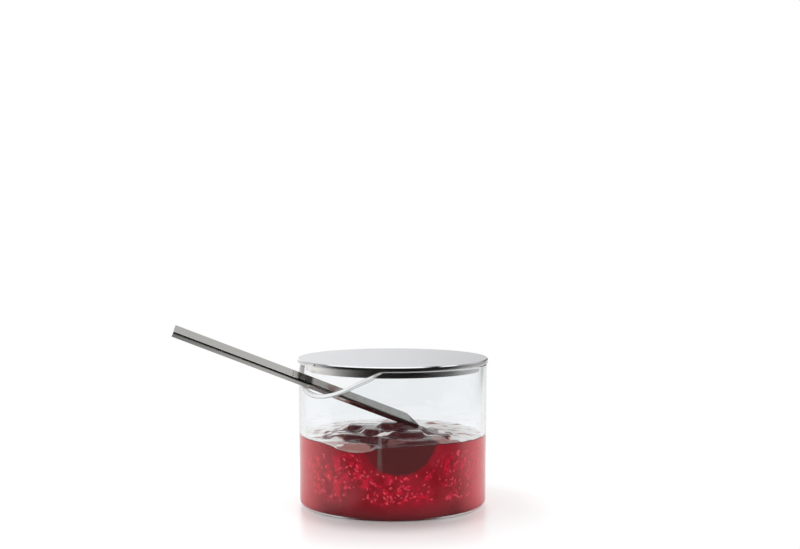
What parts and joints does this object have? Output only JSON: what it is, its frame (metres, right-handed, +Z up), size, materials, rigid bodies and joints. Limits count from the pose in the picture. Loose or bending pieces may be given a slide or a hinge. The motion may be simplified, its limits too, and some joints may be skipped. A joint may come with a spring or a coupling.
{
  "type": "glass jam pot with lid and spoon",
  "caption": "Round glass jar of red jam with a scooped rim, a flat steel lid resting on it and a straight-handled steel spoon leaning out through the scoop.",
  "frame": {"origin": "on the floor, at the middle of the jar's base", "axes": "+Z up the jar, +X to the right, -Y to the front, where the scoop's right end is; the spoon leans out towards -X"},
  "size_m": [0.1468, 0.0912, 0.0881],
  "materials": {
    "clear_glass": "clear polished glass",
    "satin_steel": "satin top with polished edge",
    "polished_steel": "polished stainless steel",
    "red_jam": "wet, glossy, with seeds"
  },
  "bodies": {
    "root": {"jar": "clear_glass", "lid": "satin_steel", "spoon": "polished_steel", "jam": "red_jam"}
  },
  "joints": []
}
